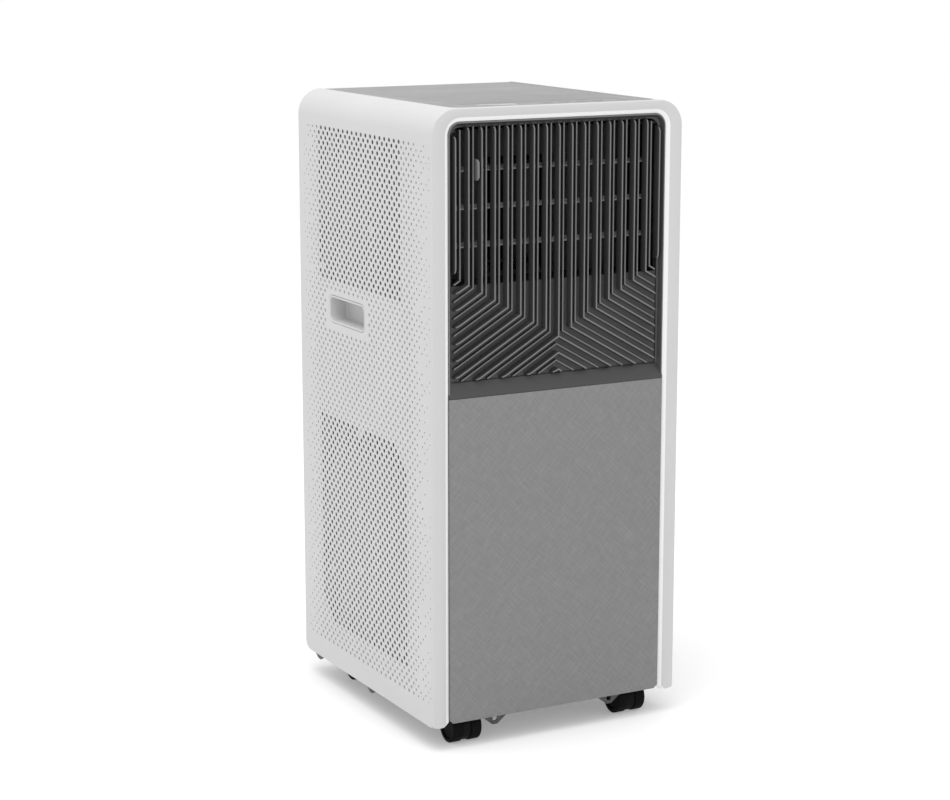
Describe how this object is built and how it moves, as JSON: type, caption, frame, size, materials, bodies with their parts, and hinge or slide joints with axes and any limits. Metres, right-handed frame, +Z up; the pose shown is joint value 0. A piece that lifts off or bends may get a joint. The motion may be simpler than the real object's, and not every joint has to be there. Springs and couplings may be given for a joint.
{
  "type": "portable air conditioner",
  "caption": "Tall portable air conditioner with perforated white sides, dark ribbed front outlet with a hand louvre lever, hatched lower panel and swivel casters.",
  "frame": {"origin": "on the floor under the middle of the case", "axes": "+Z up, +Y towards the back of the case, so the ribbed front faces -Y, and +X to the right seen from the front"},
  "size_m": [0.306, 0.337, 0.696],
  "materials": {
    "case_white": "fine satin moulded ABS",
    "top_grey": "satin grey moulded top",
    "display_black": "smoked gloss window",
    "panel_weave": "mid-grey sheet with a fine diagonal hatch",
    "grille_charcoal": "satin charcoal moulded plastic",
    "filter_frame": "black frame with a fine nylon mesh",
    "black_plastic": "black moulded plastic",
    "caster_tread": "black nylon and rubber tread",
    "strap_steel": "galvanised sheet steel",
    "inner_grey": "grey moulded plastic",
    "circuit_board": "green laminate",
    "coil_fins": "fine folded fins",
    "compressor_black": "black enamel on steel",
    "copper_pipe": "drawn copper"
  },
  "bodies": {
    "chassis": {"side_panel_left": "case_white", "side_panel_right": "case_white", "handle_cup_left": "case_white", "handle_cup_right": "case_white", "front_bezel": "case_white", "top_cover": "top_grey", "control_panel": "top_grey", "display_window": "display_black", "control_board": "circuit_board", "front_lower_panel": "panel_weave", "front_grille": "grille_charcoal", "rear_cover": "case_white", "exhaust_collar": "grille_charcoal", "cord_inlet": "black_plastic", "outlet_duct": "grille_charcoal", "base_pan": "black_plastic", "front_strap": "strap_steel", "middle_strap": "strap_steel", "rear_strap": "strap_steel", "middle_tray": "inner_grey", "evaporator_coil": "coil_fins", "condenser_coil": "coil_fins", "evaporator_scroll": "inner_grey", "condenser_scroll": "inner_grey", "evaporator_motor": "strap_steel", "condenser_motor": "strap_steel", "compressor": "compressor_black", "discharge_pipe": "copper_pipe", "suction_pipe": "copper_pipe", "splash_motor": "strap_steel", "control_box": "strap_steel", "main_board": "circuit_board", "capacitor": "coil_fins", "rear_screw_1": "strap_steel", "rear_screw_2": "strap_steel"},
    "filter_left": {"filter_left": "filter_frame"},
    "filter_right": {"filter_right": "filter_frame"},
    "louvre_blade_1": {"louvre_blade_1": "grille_charcoal", "louvre_lever": "grille_charcoal"},
    "louvre_blade_2": {"louvre_blade_2": "grille_charcoal"},
    "louvre_blade_3": {"louvre_blade_3": "grille_charcoal"},
    "louvre_link": {"louvre_link": "grille_charcoal"},
    "evaporator_fan": {"evaporator_fan": "black_plastic"},
    "condenser_fan": {"condenser_fan": "black_plastic"},
    "splash_wheel": {"splash_wheel": "black_plastic"},
    "drain_plug_upper": {"drain_plug_upper": "black_plastic"},
    "drain_plug_lower": {"drain_plug_lower": "black_plastic"},
    "button_1": {"button_1": "top_grey"},
    "button_2": {"button_2": "top_grey"},
    "button_3": {"button_3": "top_grey"},
    "button_4": {"button_4": "top_grey"},
    "caster_front_left_fork": {"caster_front_left_fork": "black_plastic"},
    "caster_front_left_wheels": {"caster_front_left_wheels": "caster_tread"},
    "caster_front_right_fork": {"caster_front_right_fork": "black_plastic"},
    "caster_front_right_wheels": {"caster_front_right_wheels": "caster_tread"},
    "caster_rear_left_fork": {"caster_rear_left_fork": "black_plastic"},
    "caster_rear_left_wheels": {"caster_rear_left_wheels": "caster_tread"},
    "caster_rear_right_fork": {"caster_rear_right_fork": "black_plastic"},
    "caster_rear_right_wheels": {"caster_rear_right_wheels": "caster_tread"}
  },
  "joints": [
    {"name": "filter_left_slide", "type": "slide", "parent": "chassis", "child": "filter_left", "axis": [0, 1, 0], "range_m": [0, 0.2]},
    {"name": "filter_right_slide", "type": "slide", "parent": "chassis", "child": "filter_right", "axis": [0, 1, 0], "range_m": [0, 0.2]},
    {"name": "drain_plug_upper_pull", "type": "slide", "parent": "chassis", "child": "drain_plug_upper", "axis": [0, 1, 0], "range_m": [0, 0.03]},
    {"name": "drain_plug_lower_pull", "type": "slide", "parent": "chassis", "child": "drain_plug_lower", "axis": [0, 1, 0], "range_m": [0, 0.03]},
    {"name": "louvre_1_tilt", "type": "hinge", "parent": "chassis", "child": "louvre_blade_1", "pos_m": [0, -0.132, 0.6288], "axis": [1, 0, 0], "range_deg": [-30, 30]},
    {"name": "louvre_2_tilt", "type": "hinge", "parent": "chassis", "child": "louvre_blade_2", "pos_m": [0, -0.132, 0.5885], "axis": [1, 0, 0], "range_deg": [-30, 30]},
    {"name": "louvre_3_tilt", "type": "hinge", "parent": "chassis", "child": "louvre_blade_3", "pos_m": [0, -0.132, 0.5482], "axis": [1, 0, 0], "range_deg": [-30, 30]},
    {"name": "louvre_link_pivot", "type": "hinge", "parent": "louvre_blade_1", "child": "louvre_link", "pos_m": [0.112, -0.108, 0.6288], "axis": [1, 0, 0], "range_deg": [-30, 30]},
    {"name": "evaporator_fan_spin", "type": "hinge", "parent": "chassis", "child": "evaporator_fan", "pos_m": [0, 0.004, 0.57], "axis": [0, 0, 1], "continuous": true},
    {"name": "condenser_fan_spin", "type": "hinge", "parent": "chassis", "child": "condenser_fan", "pos_m": [0, -0.012, 0.36], "axis": [0, 0, 1], "continuous": true},
    {"name": "splash_wheel_spin", "type": "hinge", "parent": "chassis", "child": "splash_wheel", "pos_m": [0.088, -0.048, 0.052], "axis": [0, 0, 1], "continuous": true},
    {"name": "button_1_press", "type": "slide", "parent": "chassis", "child": "button_1", "axis": [0, 0, -1], "range_m": [0, 0.001], "stiffness_N_per_m": 400},
    {"name": "button_2_press", "type": "slide", "parent": "chassis", "child": "button_2", "axis": [0, 0, -1], "range_m": [0, 0.001], "stiffness_N_per_m": 400},
    {"name": "button_3_press", "type": "slide", "parent": "chassis", "child": "button_3", "axis": [0, 0, -1], "range_m": [0, 0.001], "stiffness_N_per_m": 400},
    {"name": "button_4_press", "type": "slide", "parent": "chassis", "child": "button_4", "axis": [0, 0, -1], "range_m": [0, 0.001], "stiffness_N_per_m": 400},
    {"name": "caster_front_left_swivel", "type": "hinge", "parent": "chassis", "child": "caster_front_left_fork", "pos_m": [-0.1055, -0.1325, 0.042], "axis": [0, 0, 1], "continuous": true},
    {"name": "caster_front_left_roll", "type": "hinge", "parent": "caster_front_left_fork", "child": "caster_front_left_wheels", "pos_m": [-0.1055, -0.1405, 0.0175], "axis": [1, 0, 0], "continuous": true},
    {"name": "caster_front_right_swivel", "type": "hinge", "parent": "chassis", "child": "caster_front_right_fork", "pos_m": [0.1055, -0.1325, 0.042], "axis": [0, 0, 1], "continuous": true},
    {"name": "caster_front_right_roll", "type": "hinge", "parent": "caster_front_right_fork", "child": "caster_front_right_wheels", "pos_m": [0.1055, -0.1405, 0.0175], "axis": [1, 0, 0], "continuous": true},
    {"name": "caster_rear_left_swivel", "type": "hinge", "parent": "chassis", "child": "caster_rear_left_fork", "pos_m": [-0.1055, 0.1145, 0.042], "axis": [0, 0, 1], "continuous": true},
    {"name": "caster_rear_left_roll", "type": "hinge", "parent": "caster_rear_left_fork", "child": "caster_rear_left_wheels", "pos_m": [-0.1055, 0.1065, 0.0175], "axis": [1, 0, 0], "continuous": true},
    {"name": "caster_rear_right_swivel", "type": "hinge", "parent": "chassis", "child": "caster_rear_right_fork", "pos_m": [0.1055, 0.1145, 0.042], "axis": [0, 0, 1], "continuous": true},
    {"name": "caster_rear_right_roll", "type": "hinge", "parent": "caster_rear_right_fork", "child": "caster_rear_right_wheels", "pos_m": [0.1055, 0.1065, 0.0175], "axis": [1, 0, 0], "continuous": true}
  ],
  "couplings": [
    {"joint": "louvre_2_tilt", "follows": "louvre_1_tilt", "ratio": 1},
    {"joint": "louvre_3_tilt", "follows": "louvre_1_tilt", "ratio": 1},
    {"joint": "louvre_link_pivot", "follows": "louvre_1_tilt", "ratio": -1}
  ]
}
